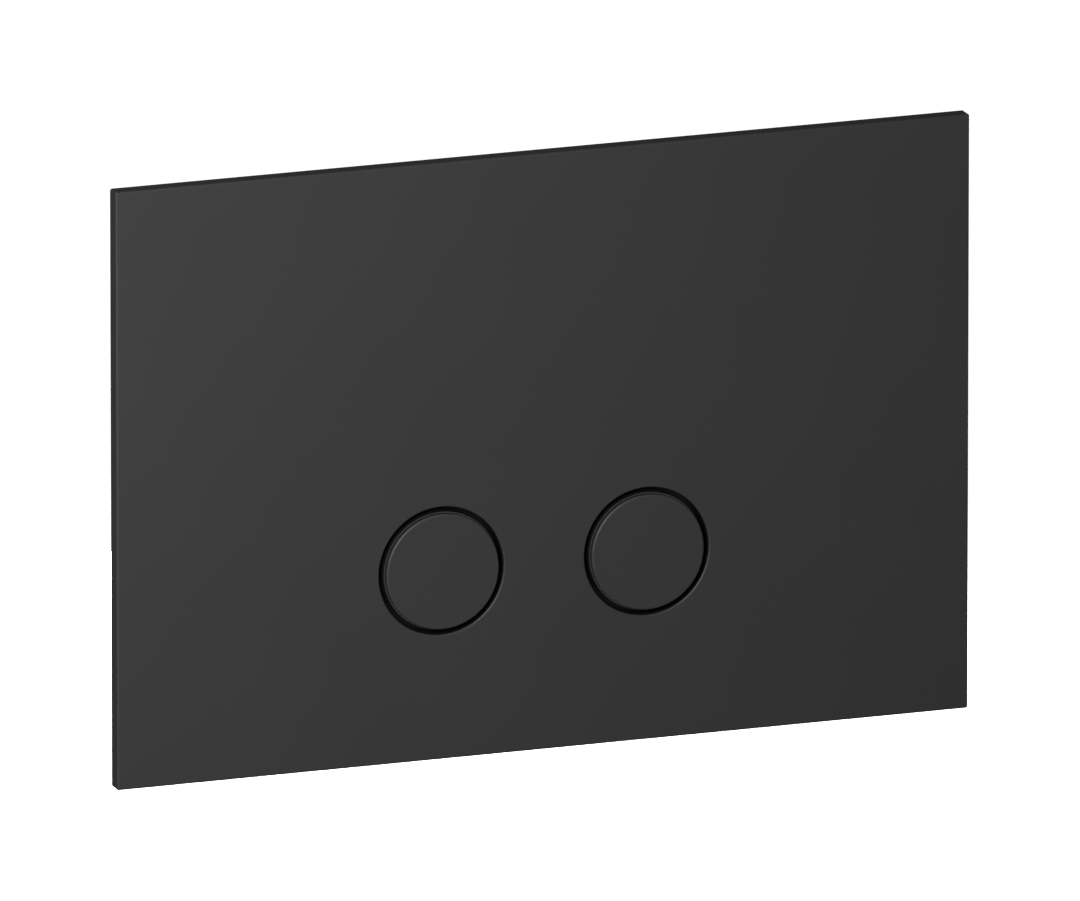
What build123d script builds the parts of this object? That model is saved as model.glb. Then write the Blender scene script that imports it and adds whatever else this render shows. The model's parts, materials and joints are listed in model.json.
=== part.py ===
from build123d import *
import math
import os

# Flush button plate: a slim matt plate with two round push buttons for a cistern in the wall.
# Each sprung button slides in a moulded carrier behind the plate and drives a push rod.
# A mounting frame is clamped over the service opening, and the plate clips on to it.
#
# Every piece is drawn lying on the wall: X to the right, Y up, and Z out of the wall,
# with Z = 0 on the finished wall. Levels are Z values, so what is behind the wall is negative.
# The last step stands the pieces up: the plate then faces -Y, Z is up and the wall is Y = 0.
# All sizes are in millimetres.

# Front plate
plate_width = 220.0
plate_height = 150.0
face_thickness = 2.4
rim_thickness = 2.4
corner_round = 0.5
edge_bevel = 0.4
hole_bevel = 0.4
gusset_thickness = 1.2
gusset_reach = 5.5
gusset_pitch = 54.0
rib_thickness = 1.2
rib_height = 2.6
rib_pitch = 32.0

# Layers between the plate's inner face and the wall
pad_thickness = 0.5
pad_length = 16.0
pad_width = 6.0
frame_flange_thickness = 1.4

# Buttons
button_radius = 14.5
button_gap = 1.6
button_pitch = 53.0
button_rise = 47.5
button_proud = 1.0
button_face = 2.0
button_skirt = 1.8
button_bevel = 0.5
button_stroke = 5.0
lip_overlap = 1.4
lip_thickness = 1.6
damper_thickness = 0.8
damper_length = 5.0
damper_inset = 0.2
damper_count = 4
stem_radius = 5.0
stem_proud = 2.4

# Carrier
guide_clearance = 0.3
cup_wall = 1.6
cup_floor = 1.6
stop_clearance = 0.7
stop_rib_thickness = 1.6
stop_rib_count = 4
key_width = 3.4
key_height = 1.2
key_count = 2
base_thickness = 2.2
base_side_margin = 10.0
base_edge_margin = 5.0
base_corner = 4.0
base_wall = 1.4
base_wall_height = 3.0
cup_web_thickness = 1.4
cup_web_reach = 4.0
cup_web_depth = 6.0
cup_web_count = 4

# Clips on the plate that hold the carrier by a ledge round its base
ledge_width = 2.0
clip_width = 8.0
clip_thickness = 1.4
clip_clearance = 0.2
clip_bite = 1.2
clip_barb = 2.2

# Return springs
spring_length = 13.6
spring_radius = 7.6
spring_wire = 1.0
spring_turns = 3.5
spring_runs_per_turn = 8
spring_clearance = 0.1
spring_side_clearance = 0.6

# Push rods and their lock nuts
rod_radius = 3.0
rod_length = 62.0
rod_bite = 10.0
rod_spare = 1.0
thread_clearance = 0.05
lock_nut_radius = 5.8
lock_nut_height = 4.0

# Mounting frame
frame_margin = 7.6
frame_flange_width = 11.0
frame_corner = 4.0
frame_wall = 2.0
frame_lip = 2.0
window_clearance = 2.6
ear_reach = 24.0
ear_height = 36.0
ear_thickness = 3.0
ear_web_thickness = 1.8

# Fixing rods, nuts and washers
fixing_inset = 10.0
fixing_drop = 46.0
fixing_radius = 3.0
fixing_length = 80.0
fixing_tail_radius = 2.5
fixing_tail_length = 24.0
fixing_proud = 0.8
fixing_face_clearance = 1.0
slot_length = 16.0
slot_clearance = 0.3
nut_radius = 8.0
nut_height = 6.0
washer_width = 18.0
washer_thickness = 1.5
washer_clearance = 0.2

# Hooks on the plate and their windows in the frame
hook_spacing = 140.0
hook_width = 12.0
hook_thickness = 1.8
hook_reach = 8.6
hook_barb = 3.4
hook_bite = 1.5
hook_clearance = 0.5
hook_play = 0.3
hook_side_clearance = 0.6

# Levels
inner_face = frame_flange_thickness + pad_thickness
plate_depth = inner_face + face_thickness
button_top = plate_depth + button_proud
button_under = button_top - button_face
lip_front = inner_face - damper_thickness
lip_back = lip_front - lip_thickness
stop_level = lip_back - button_stroke - stop_clearance
spring_front = button_under - spring_clearance
spring_back = spring_front - spring_length
cup_floor_level = spring_back - spring_clearance
cup_back = cup_floor_level - cup_floor
stem_end = cup_back - stem_proud
rod_front = stem_end + rod_bite
rod_back = rod_front - rod_length
base_back = inner_face - base_thickness
fixing_front = inner_face - fixing_face_clearance
nut_front = fixing_front - fixing_proud
nut_back = nut_front - nut_height
ear_front = nut_back - washer_thickness
ear_back = ear_front - ear_thickness
frame_back = ear_back - frame_lip
fixing_back = fixing_front - fixing_length
fixing_shoulder = fixing_back + fixing_tail_length
hook_tip = inner_face - hook_reach
hook_catch = hook_tip + hook_barb

# Radii
hole_radius = button_radius + button_gap
lip_radius = hole_radius + lip_overlap
bore_radius = lip_radius + guide_clearance
cup_radius = bore_radius + cup_wall
key_radius = bore_radius - key_height
spring_outer_radius = spring_radius + spring_wire / 2

# Places across the wall
button_x = button_pitch / 2
button_y = button_rise - plate_height / 2
recess_half_width = plate_width / 2 - rim_thickness
recess_half_height = plate_height / 2 - rim_thickness
base_half_width = button_x + cup_radius + base_side_margin
base_half_height = cup_radius + base_edge_margin
frame_half_width = recess_half_width - frame_margin
frame_half_height = recess_half_height - frame_margin
window_half_width = frame_half_width - frame_flange_width
window_top = frame_half_height - frame_flange_width
window_bottom = button_y - base_half_height - window_clearance
window_height = window_top - window_bottom
window_middle = (window_top + window_bottom) / 2
fixing_x = window_half_width - ear_reach + fixing_inset
fixing_y = window_top - fixing_drop
hook_x = hook_spacing / 2

SIDES = {"left": -1, "right": 1}


def between(outline, low, high):
    """A flat outline carried along Z from one level to another."""
    return extrude(Pos(0, 0, low) * outline, high - low)


def bar(radius, low, high):
    """A round bar on the Z axis."""
    return between(Circle(radius), low, high)


def turned(profile):
    """A closed profile of (radius, level) points turned about the Z axis."""
    return revolve(Plane.XZ * make_face(Polyline(*profile, close=True)), Axis.Z)


def web(profile, thickness):
    """A closed profile of (x, level) points made into an upright web on the X axis."""
    return extrude(Plane.XZ * make_face(Polyline(*profile, close=True)), thickness / 2, both=True)


def around(count, first=0.0):
    """Evenly spaced turns about the Z axis."""
    return [Rot(0, 0, first + 360.0 * step / count) for step in range(count)]


def spread(span, pitch):
    """Places along a centred span, as near to the pitch as a whole number of steps allows."""
    steps = max(1, round(span / pitch))
    return [span * (step / steps - 0.5) for step in range(steps + 1)]


def rim_gussets():
    """Small triangular gussets that stiffen the plate's rim, clear of the mounting frame."""
    low = pad_thickness
    profile = [(0, inner_face), (0, low), (-gusset_reach, inner_face)]
    gusset = web(profile, gusset_thickness)
    gussets = []
    for y in spread(2 * recess_half_height - gusset_pitch, gusset_pitch):
        gussets.append(Pos(recess_half_width, y) * gusset)
        gussets.append(Pos(-recess_half_width, y) * Rot(0, 0, 180) * gusset)
    for x in spread(2 * recess_half_width - gusset_pitch, gusset_pitch):
        gussets.append(Pos(x, recess_half_height) * Rot(0, 0, 90) * gusset)
        gussets.append(Pos(x, -recess_half_height) * Rot(0, 0, -90) * gusset)
    return gussets


def back_ribs():
    """A grid of low ribs on the plate's inner face, above the carrier and between the ears."""
    half_width = window_half_width - ear_reach
    low = button_y + base_half_height + window_clearance
    high = window_top - hook_thickness - window_clearance
    level = inner_face - rib_height
    ribs = []
    for x in spread(2 * half_width, rib_pitch):
        outline = Pos(x, (low + high) / 2) * Rectangle(rib_thickness, high - low)
        ribs.append(between(outline, level, inner_face))
    for y in spread(high - low, rib_pitch):
        outline = Pos(0, y + (low + high) / 2) * Rectangle(2 * half_width + rib_thickness, rib_thickness)
        ribs.append(between(outline, level, inner_face))
    return ribs


def hooks():
    """Snap hooks that reach back through the frame's window, with barbs at the top and bottom."""
    profile = [
        (0, inner_face),
        (0, hook_catch),
        (hook_bite + hook_clearance, hook_catch),
        (0, hook_tip),
        (-hook_thickness, hook_tip),
        (-hook_thickness, inner_face),
    ]
    upper = Rot(0, 0, 90) * web(profile, hook_width)
    lower = Rot(0, 0, -90) * web(profile, hook_width)
    pieces = []
    for side in SIDES.values():
        pieces.append(Pos(side * hook_x, window_top - hook_clearance) * upper)
        pieces.append(Pos(side * hook_x, window_bottom + hook_clearance) * lower)
    return pieces


def clips():
    """Snap clips round the carrier, with barbs that hold its ledge against the plate."""
    profile = [
        (clip_clearance, inner_face),
        (clip_clearance, base_back),
        (-clip_bite, base_back),
        (clip_clearance, base_back - clip_barb),
        (clip_clearance + clip_thickness, base_back - clip_barb),
        (clip_clearance + clip_thickness, inner_face),
    ]
    clip = web(profile, clip_width)
    pieces = []
    for side in SIDES.values():
        sideways = Rot(0, 0, 90 - 90 * side)
        pieces.append(Pos(side * base_half_width, button_y) * sideways * clip)
        for end in (-1, 1):
            upright = Rot(0, 0, 90 * end)
            pieces.append(Pos(side * button_x, button_y + end * base_half_height) * upright * clip)
    return pieces


def button_opening():
    """The hole that a button moves in, with a bevelled mouth."""
    return turned([
        (0, inner_face),
        (hole_radius, inner_face),
        (hole_radius, plate_depth - hole_bevel),
        (hole_radius + hole_bevel, plate_depth),
        (0, plate_depth),
    ])


def front_plate():
    """The visible plate: a shallow moulded tray with two round openings for the buttons."""
    body = between(RectangleRounded(plate_width, plate_height, corner_round), 0, plate_depth)
    body = chamfer(body.faces().sort_by(Axis.Z)[-1].edges(), edge_bevel)
    body -= between(Rectangle(2 * recess_half_width, 2 * recess_half_height), 0, inner_face)
    for side in SIDES.values():
        body -= Pos(side * button_x, button_y) * button_opening()
    return body + rim_gussets() + back_ribs() + hooks() + clips()


def button():
    """A moulded button: a face with a broken edge, a skirt, a stop lip and a threaded stem."""
    skirt_inner = button_radius - button_skirt
    thread_radius = rod_radius + thread_clearance
    body = turned([
        (0, button_top),
        (button_radius - button_bevel, button_top),
        (button_radius, button_top - button_bevel),
        (button_radius, lip_front),
        (lip_radius, lip_front),
        (lip_radius, lip_back),
        (skirt_inner, lip_back),
        (skirt_inner, button_under),
        (stem_radius, button_under),
        (stem_radius, stem_end),
        (thread_radius, stem_end),
        (thread_radius, rod_front + rod_spare),
        (0, rod_front + rod_spare),
    ])
    notch_width = key_width + 2 * guide_clearance
    notch_depth = lip_radius - key_radius + guide_clearance
    notch = between(Rectangle(2 * notch_depth, notch_width), lip_back, lip_front)
    for turn in around(key_count):
        body -= turn * Pos(lip_radius, 0) * notch
    return body


def damper_pads():
    """Soft pads on the button's lip that quieten its return against the plate."""
    inner = hole_radius + damper_inset
    outer = lip_radius - damper_inset
    pad = between(Rectangle(outer - inner, damper_length), lip_front, inner_face)
    seat = Pos((inner + outer) / 2, 0) * pad
    return Part() + [turn * seat for turn in around(damper_count, 180.0 / damper_count)]


def return_spring():
    """A compression spring round the stem, drawn as straight runs of wire along a helix."""
    rise = spring_length - spring_wire
    runs = round(spring_turns * spring_runs_per_turn)
    points = []
    for run in range(runs + 1):
        angle = 2 * math.pi * spring_turns * run / runs
        level = spring_back + spring_wire / 2 + rise * run / runs
        points.append((spring_radius * math.cos(angle), spring_radius * math.sin(angle), level))
    coil = Polyline(*points)
    section = Plane(origin=coil @ 0, x_dir=(1, 0, 0), z_dir=coil % 0) * RegularPolygon(spring_wire / 2, 4)
    return sweep(section, path=coil, transition=Transition.RIGHT)


def push_rod():
    """A threaded rod that screws into the stem and carries the stroke to the cistern's valve."""
    return bar(rod_radius, rod_back, rod_front)


def lock_nut():
    """A hexagon nut that locks the push rod against the end of the stem."""
    nut = between(RegularPolygon(lock_nut_radius, 6), stem_end - lock_nut_height, stem_end)
    return nut - bar(rod_radius + thread_clearance, stem_end - lock_nut_height, stem_end)


def cup():
    """One button's guide: a cup with two keys against turning and ribs that stop the stroke."""
    body = bar(cup_radius, cup_back, inner_face)
    body -= bar(bore_radius, cup_floor_level, inner_face)
    inner = spring_outer_radius + spring_side_clearance
    stop = Pos((inner + bore_radius + cup_wall / 2) / 2, 0) * Rectangle(
        bore_radius + cup_wall / 2 - inner, stop_rib_thickness
    )
    for turn in around(stop_rib_count, 180.0 / stop_rib_count):
        body += turn * between(stop, cup_floor_level - cup_floor / 2, stop_level)
    key = Pos((key_radius + bore_radius + cup_wall / 2) / 2, 0) * Rectangle(
        bore_radius + cup_wall / 2 - key_radius, key_width
    )
    for turn in around(key_count):
        body += turn * between(key, cup_floor_level - cup_floor / 2, lip_front)
    return body - bar(stem_radius + guide_clearance, cup_back, cup_floor_level)


def carrier():
    """The moulded housing that holds both buttons: a ribbed base with two guide cups."""
    outline = Rectangle(2 * base_half_width, 2 * base_half_height)
    outline = chamfer(outline.vertices(), base_corner)
    wall_outer = Rectangle(2 * (base_half_width - ledge_width), 2 * (base_half_height - ledge_width))
    wall_inset = ledge_width + base_wall
    wall_inner = Rectangle(2 * (base_half_width - wall_inset), 2 * (base_half_height - wall_inset))
    body = between(outline, base_back, inner_face)
    body += between(wall_outer - wall_inner, base_back - base_wall_height, base_back)
    bridge = Rectangle(button_pitch - 2 * bore_radius - cup_wall, cup_web_thickness)
    body += between(bridge, cup_floor_level, base_back)
    cup_web = web(
        [
            (bore_radius + cup_wall / 2, base_back),
            (cup_radius + cup_web_reach, base_back),
            (cup_radius, base_back - cup_web_depth),
            (bore_radius + cup_wall / 2, base_back - cup_web_depth),
        ],
        cup_web_thickness,
    )
    for side in SIDES.values():
        seat = Pos(side * button_x, 0)
        body += [seat * turn * cup_web for turn in around(cup_web_count, 180.0 / cup_web_count)]
        body -= seat * bar(bore_radius + cup_wall / 2, base_back - base_wall_height, inner_face)
        body += seat * cup()
    return Pos(0, button_y) * body


def ear():
    """The right-hand ear of the frame: a recessed shelf with a slot for the fixing rod."""
    shelf = Pos(window_half_width + (frame_wall - ear_reach) / 2, fixing_y) * Rectangle(
        ear_reach + frame_wall, ear_height
    )
    body = between(shelf, ear_back, ear_front)
    side_web = web(
        [
            (window_half_width + frame_wall, ear_front),
            (window_half_width + frame_wall, 0),
            (window_half_width, 0),
            (window_half_width - ear_reach, ear_front),
        ],
        ear_web_thickness,
    )
    reach = (ear_height - ear_web_thickness) / 2
    body += [Pos(0, fixing_y + end * reach) * side_web for end in (-1, 1)]
    slot = SlotOverall(slot_length, 2 * (fixing_radius + slot_clearance))
    return body - between(Pos(fixing_x, fixing_y) * slot, ear_back, ear_front)


def mounting_frame():
    """The frame behind the plate: a flange on the wall and a box wall into the opening."""
    window = Pos(0, window_middle) * Rectangle(2 * window_half_width, window_height)
    outside = Pos(0, window_middle) * Rectangle(
        2 * (window_half_width + frame_wall), window_height + 2 * frame_wall
    )
    flange = RectangleRounded(2 * frame_half_width, 2 * frame_half_height, frame_corner)
    body = between(flange - window, 0, frame_flange_thickness)
    body += between(outside - window, frame_back, 0)
    body += [ear(), mirror(ear(), about=Plane.YZ)]
    catch = Rectangle(hook_width + 2 * hook_side_clearance, 2 * frame_wall)
    for side in SIDES.values():
        for edge in (window_top, window_bottom):
            place = Pos(side * hook_x, edge) * catch
            body -= between(place, hook_tip - hook_play, hook_catch + hook_play)
    return body


def corner_pads():
    """Foam pads on the flange's corners that keep the plate from rattling."""
    x = frame_half_width - pad_length
    y = frame_half_height - pad_width
    places = [Pos(side * x, end * y) for side in (-1, 1) for end in (-1, 1)]
    pad = between(Rectangle(pad_length, pad_width), frame_flange_thickness, inner_face)
    return Part() + [place * pad for place in places]


def fixing_rod():
    """A stepped threaded rod: its tail screws into the cistern, and the front takes the nut."""
    body = bar(fixing_radius, fixing_shoulder, fixing_front)
    return body + bar(fixing_tail_radius, fixing_back, fixing_shoulder)


def fixing_nut():
    """A large hexagon nut, turned by hand, that draws the frame on to the wall."""
    outline = RegularPolygon(nut_radius, 6) - Circle(fixing_radius + thread_clearance)
    return between(outline, nut_back, nut_front)


def fixing_washer():
    """A square plate washer that spans the slot in the ear."""
    outline = Rectangle(washer_width, washer_width) - Circle(fixing_radius + washer_clearance)
    return between(outline, ear_front, nut_back)


def all_nodes():
    """Every piece by its name, drawn on the wall."""
    nodes = {
        "front_plate": front_plate(),
        "button_carrier": carrier(),
        "mounting_frame": mounting_frame(),
        "corner_pads": corner_pads(),
    }
    button_pieces = {
        "button": button(),
        "damper_pads": damper_pads(),
        "return_spring": return_spring(),
        "push_rod": push_rod(),
        "lock_nut": lock_nut(),
    }
    fixing_pieces = {
        "fixing_rod": fixing_rod(),
        "fixing_nut": fixing_nut(),
        "fixing_washer": fixing_washer(),
    }
    for name, side in SIDES.items():
        for piece, shape in button_pieces.items():
            nodes[piece + "_" + name] = Pos(side * button_x, button_y) * shape
        for piece, shape in fixing_pieces.items():
            nodes[piece + "_" + name] = Pos(side * fixing_x, fixing_y) * shape
    return nodes


stand_up = Rot(90, 0, 0)
os.makedirs("parts", exist_ok=True)
for node_name, node_shape in all_nodes().items():
    export_step(stand_up * node_shape, "parts/" + node_name + ".step")
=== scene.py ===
"""Finished looks of a flush button plate, built round its fixed frame and laid out as an add-on."""

import json
import math

import bmesh
import bpy
import numpy as np
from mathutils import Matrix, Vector

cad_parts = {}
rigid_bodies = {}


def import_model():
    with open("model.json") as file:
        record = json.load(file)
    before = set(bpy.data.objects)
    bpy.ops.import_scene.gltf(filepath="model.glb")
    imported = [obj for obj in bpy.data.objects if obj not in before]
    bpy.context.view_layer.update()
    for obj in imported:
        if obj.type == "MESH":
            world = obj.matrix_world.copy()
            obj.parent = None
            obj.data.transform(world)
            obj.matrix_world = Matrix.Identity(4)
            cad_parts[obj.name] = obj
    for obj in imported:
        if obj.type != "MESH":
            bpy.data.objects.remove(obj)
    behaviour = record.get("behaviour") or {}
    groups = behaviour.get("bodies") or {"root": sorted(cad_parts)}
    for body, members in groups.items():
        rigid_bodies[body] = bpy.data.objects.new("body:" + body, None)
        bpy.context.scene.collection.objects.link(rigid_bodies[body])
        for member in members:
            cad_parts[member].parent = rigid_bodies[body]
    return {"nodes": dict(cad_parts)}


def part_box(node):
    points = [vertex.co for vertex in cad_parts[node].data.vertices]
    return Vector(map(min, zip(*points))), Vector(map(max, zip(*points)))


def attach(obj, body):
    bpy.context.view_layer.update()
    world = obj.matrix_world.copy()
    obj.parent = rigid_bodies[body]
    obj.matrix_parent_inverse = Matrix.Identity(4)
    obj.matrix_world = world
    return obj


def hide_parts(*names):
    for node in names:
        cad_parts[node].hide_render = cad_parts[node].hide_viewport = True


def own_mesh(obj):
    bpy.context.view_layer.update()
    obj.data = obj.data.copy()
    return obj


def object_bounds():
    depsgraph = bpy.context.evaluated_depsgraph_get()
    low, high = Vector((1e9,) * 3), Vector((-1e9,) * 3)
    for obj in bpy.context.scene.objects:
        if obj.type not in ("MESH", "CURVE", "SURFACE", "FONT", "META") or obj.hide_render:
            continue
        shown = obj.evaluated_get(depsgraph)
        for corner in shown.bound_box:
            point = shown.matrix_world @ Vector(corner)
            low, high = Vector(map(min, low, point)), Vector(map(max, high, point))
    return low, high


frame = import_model()
CAD_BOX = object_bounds()

bl_info = {
    "name": "Flush button plate",
    "version": (1, 0, 0),
    "blender": (4, 5, 0),
    "location": "3D View > Sidebar > Flush Plate",
    "description": "Builds the finished pieces of a flush button plate round its frame",
    "category": "Object",
}

MM = 0.001
TURN = 2 * math.pi
TINY = 1e-9
HAIR = 0.001 * MM
ANGLE_HAIR = 1e-6
SIDES = ("left", "right")
DAMPER_COUNT = 4
SHOW_PIECES = ("plate_moulding", "button_moulding")
ROOT = "plate_assembly"

# How finely shapes are drawn, merged and rounded
ROUND_STEPS = 192
ARC_STEPS = 7
QUARTER_ARC = np.linspace(0, math.pi / 2, ARC_STEPS)
COIL_STEPS = 64
WIRE_STEPS = 16
ROD_STEPS = 48
THREAD_STEPS = 16
WELD_DIGITS = 5
ANGLE_DIGITS = 12
MERGE_DISTANCE = 0.002 * MM
FLAT_LIMIT = math.radians(0.5)
SMOOTH_LIMIT = math.radians(38)
BEVEL_LIMIT = math.radians(50)
BEVEL_SEGMENTS = 3

# The side wall of a notch in a button's lip takes this angle to each side
NOTCH_WALL = math.radians(0.05)

# A thread's wave is stretched and lowered, so that crests and roots take a sixth of the pitch each
WAVE_STRETCH = 1.5
WAVE_DROP = 0.25

# A nut's cones start at this share of its flats, and run this many times as far as its corners need
NUT_CROWN = 0.97
CONE_SPAN = 1.2

# The camera's sensor in millimetres, and how far it sees in metres
SENSOR_WIDTH = 36
SIGHT = 100

# Soft boxes: where each one stands and its width, in metres
SOFT_BOXES = {
    "key_light": ((-0.414, -0.54, 0.276), 0.29),
    "side_light": ((0.9, 0.55, -0.25), 0.5),
    "back_light": ((0.15, 1.1, -0.17), 0.5),
    "rear_top_light": ((0.1, 0.5, 0.8), 0.6),
    "rear_left_light": ((-0.8, 0.6, 0.15), 0.6),
    "rear_right_light": ((0.8, 0.6, 0.15), 0.6),
}

# Pieces are drawn as they lie on the wall: across, up, and out of the wall, which is level 0


def drawn_box(node):
    """A node's lowest and highest corner as drawn on the wall: across, up and out of the wall."""
    low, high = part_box(node)
    return np.array([low.x, low.z, -high.y]), np.array([high.x, high.z, -low.y])


def drawn_middle(node):
    """The middle of a node's box, across and up."""
    low, high = drawn_box(node)
    return (low[:2] + high[:2]) / 2


PLATE_LOW, PLATE_HIGH = drawn_box("front_plate")
FRAME_HIGH = drawn_box("mounting_frame")[1]
CARRIER_LOW, CARRIER_HIGH = drawn_box("button_carrier")
PADS_LOW, PADS_HIGH = drawn_box("corner_pads")
BUTTON_LOW, BUTTON_HIGH = drawn_box("button_right")
DAMPERS_LOW, DAMPERS_HIGH = drawn_box("damper_pads_right")
INNER_FACE = PADS_HIGH[2]
LIP_RADIUS = (BUTTON_HIGH[1] - BUTTON_LOW[1]) / 2


# Settings that a user would change


def length(label, millimetres, note):
    """A length setting with its default given in millimetres."""
    return bpy.props.FloatProperty(
        name=label, description=note, default=millimetres * MM, unit="LENGTH", precision=5
    )


def angle(label, degrees, note):
    """An angle setting with its default given in degrees."""
    return bpy.props.FloatProperty(
        name=label, description=note, default=math.radians(degrees), subtype="ANGLE"
    )


def number(label, default, note, unit="NONE"):
    """A plain number setting, or one with a unit."""
    return bpy.props.FloatProperty(name=label, description=note, default=default, unit=unit)


def linear(code):
    """An sRGB hex colour as linear red, green and blue."""
    channels = np.array([int(code[k : k + 2], 16) for k in (1, 3, 5)]) / 255
    low, high = channels / 12.92, ((channels + 0.055) / 1.055) ** 2.4
    return tuple(np.where(channels <= 0.04045, low, high).tolist())


def colour(label, code, note):
    """A colour setting with its default given as an sRGB hex value."""
    return bpy.props.FloatVectorProperty(
        name=label, description=note, default=linear(code), subtype="COLOR", min=0, max=1
    )


class PlateSettings(bpy.types.PropertyGroup):
    """Sizes of the front plate's tray."""

    corner_round: length("Corner round", 0.5, "Radius of the outline's corners")
    edge_round: length("Edge round", 0.5, "Radius of the edge round the face")
    hole_radius: length("Hole radius", 16.1, "Radius of each button's opening")
    mouth_round: length("Mouth round", 0.4, "Radius of the edge round each opening")
    rim: length("Rim", 2.4, "Thickness of the tray's rim")
    edge_break: length("Edge break", 0.15, "Rounding of the moulded edges behind")


class PlateBackSettings(bpy.types.PropertyGroup):
    """Sizes of what is moulded on the front plate's back."""

    sink: length("Sink", 0.4, "How deep ribs, hooks and clips run into the face")
    rib_thickness: length("Rib thickness", 1.2, "Thickness of the stiffening ribs")
    rib_height: length("Rib height", 2.6, "Height of the stiffening ribs")
    rib_pitch: length("Rib pitch", 32.0, "Wanted distance between ribs")
    rib_step: length("Rib step", 0.06, "How much lower the level ribs are than the upright ones")
    gusset_thickness: length("Gusset thickness", 1.2, "Thickness of the rim's gussets")
    gusset_reach: length("Gusset reach", 5.5, "Length of the gussets on the face")
    gusset_foot: length("Gusset foot", 0.5, "Level that the gussets reach back to")
    gusset_pitch: length("Gusset pitch", 54.0, "Wanted distance between gussets")
    window_gap: length("Window gap", 2.6, "Room between the carrier and the frame's window")
    hook_spacing: length("Hook spacing", 140.0, "Distance between the left and right hooks")
    hook_width: length("Hook width", 12.0, "Width of the hooks")
    hook_thickness: length("Hook thickness", 1.8, "Thickness of the hooks")
    hook_gap: length("Hook gap", 0.5, "Gap between a hook and the window's edge")
    hook_barb: length("Hook barb", 3.4, "Length of the hooks' barbs")
    hook_bite: length("Hook bite", 2.0, "How far the hooks' barbs stand out")
    clip_width: length("Clip width", 8.0, "Width of the carrier's clips")
    clip_thickness: length("Clip thickness", 1.4, "Thickness of the carrier's clips")
    clip_gap: length("Clip gap", 0.2, "Gap between a clip and the carrier")
    clip_bite: length("Clip bite", 1.2, "How far the clips' barbs reach over the carrier")
    clip_barb: length("Clip barb", 2.2, "Length of the clips' barbs")


class ButtonSettings(bpy.types.PropertyGroup):
    """Sizes of the push buttons."""

    radius: length("Radius", 14.5, "Radius of the button's face")
    edge_round: length("Edge round", 0.45, "Radius of the edge round the button's face")
    texture_end: length("Texture end", 0.3, "Where the cap's matt texture ends, above the plate's face")
    ledge_drop: length("Ledge drop", 0.45, "How far below the plate's face the ledge round the cap lies")
    ledge_width: length("Ledge width", 0.28, "Width of the ledge round the cap")
    face: length("Face", 2.0, "Thickness of the button's face")
    skirt: length("Skirt", 1.8, "Thickness of the button's skirt")
    lip: length("Lip", 1.6, "Thickness of the stop lip")
    notch_floor: length("Notch floor", 16.3, "Radius of the bottom of the lip's guide notches")
    notch_width: length("Notch width", 4.0, "Width of the lip's guide notches")
    stem_radius: length("Stem radius", 5.0, "Radius of the threaded stem")
    stem_break: length("Stem break", 0.5, "Rounding of the stem's end")
    bore_radius: length("Bore radius", 3.05, "Radius of the stem's bore")
    bore_spare: length("Bore spare", 1.0, "Free depth in front of the push rod")
    damper_length: length("Damper length", 5.0, "Length of each damper pad")
    damper_width: length("Damper width", 1.0, "Width of each damper pad")


class CarrierSettings(bpy.types.PropertyGroup):
    """Sizes of the button carrier and the mounting frame."""

    base: length("Base", 2.2, "Thickness of the carrier's base")
    flange_width: length("Flange width", 11.0, "Width of the frame's flange")
    ear_reach: length("Ear reach", 24.0, "How far the frame's ears reach into its window")
    edge_break: length("Edge break", 0.2, "Rounding of the moulded edges")


class FastenerSettings(bpy.types.PropertyGroup):
    """Sizes of springs, rods, nuts, washers and pads."""

    spring_wire: length("Spring wire", 1.0, "Diameter of the springs' wire")
    spring_turns: number("Spring turns", 3.5, "Number of turns in each spring")
    # Threads are drawn with about twice their usual pitch, so that they show
    push_pitch: length("Push pitch", 2.5, "Thread pitch of the push rods")
    fixing_pitch: length("Fixing pitch", 2.0, "Thread pitch of the fixing rods")
    tail_pitch: length("Tail pitch", 1.6, "Thread pitch of the fixing rods' tails")
    tail_radius: length("Tail radius", 2.5, "Radius of the fixing rods' tails")
    tail_length: length("Tail length", 24.0, "Length of the fixing rods' tails")
    thread_depth: number("Thread depth", 0.25, "Depth of a thread as a share of its pitch")
    rod_chamfer: length("Rod chamfer", 0.8, "Bevel at the ends of the rods")
    nut_bore: length("Nut bore", 3.05, "Radius of the nuts' bores")
    nut_mouth: length("Nut mouth", 0.4, "Bevel at the mouths of the nuts' bores")
    washer_hole: length("Washer hole", 3.2, "Radius of the washers' holes")
    washer_corner: length("Washer corner", 0.8, "Radius of the washers' corners")
    edge_break: length("Edge break", 0.2, "Rounding of the washers' and pads' edges")
    pad_length: length("Pad length", 16.0, "Length of each corner pad")
    pad_width: length("Pad width", 6.0, "Width of each corner pad")


class FinishSettings(bpy.types.PropertyGroup):
    """Colours of the finishes."""

    show_black: colour("Show black", "#424243", "Plate and buttons")
    # Painted shade: the gap walls' colour is far darker than the face's and stands in for the shade in the
    # gaps round the buttons
    shaded_gap_black: colour("Gap black", "#171718", "Satin walls on both sides of the gaps round the buttons")
    # Painted shade: the lips' colour is far darker than the face's and stands in for the shade at the
    # bottom of the gaps
    shaded_lip_black: colour("Lip black", "#131314", "Polished lips and insides of the buttons")
    carrier_black: colour("Carrier black", "#1d1e20", "Button carrier")
    frame_grey: colour("Frame grey", "#b4b6b8", "Mounting frame")
    foam: colour("Foam", "#3a3a3c", "Corner pads")
    rubber: colour("Rubber", "#18181a", "Damper pads")
    wire: colour("Wire", "#a3a19c", "Return springs")
    acetal: colour("Acetal", "#e6e5df", "Push rods and lock nuts")
    zinc: colour("Zinc", "#c3c8cc", "Fixing rods and washers")
    nylon: colour("Nylon", "#7f8285", "Fixing nuts")
    floor: colour("Floor", "#f7f7f7", "Studio floor")


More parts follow.
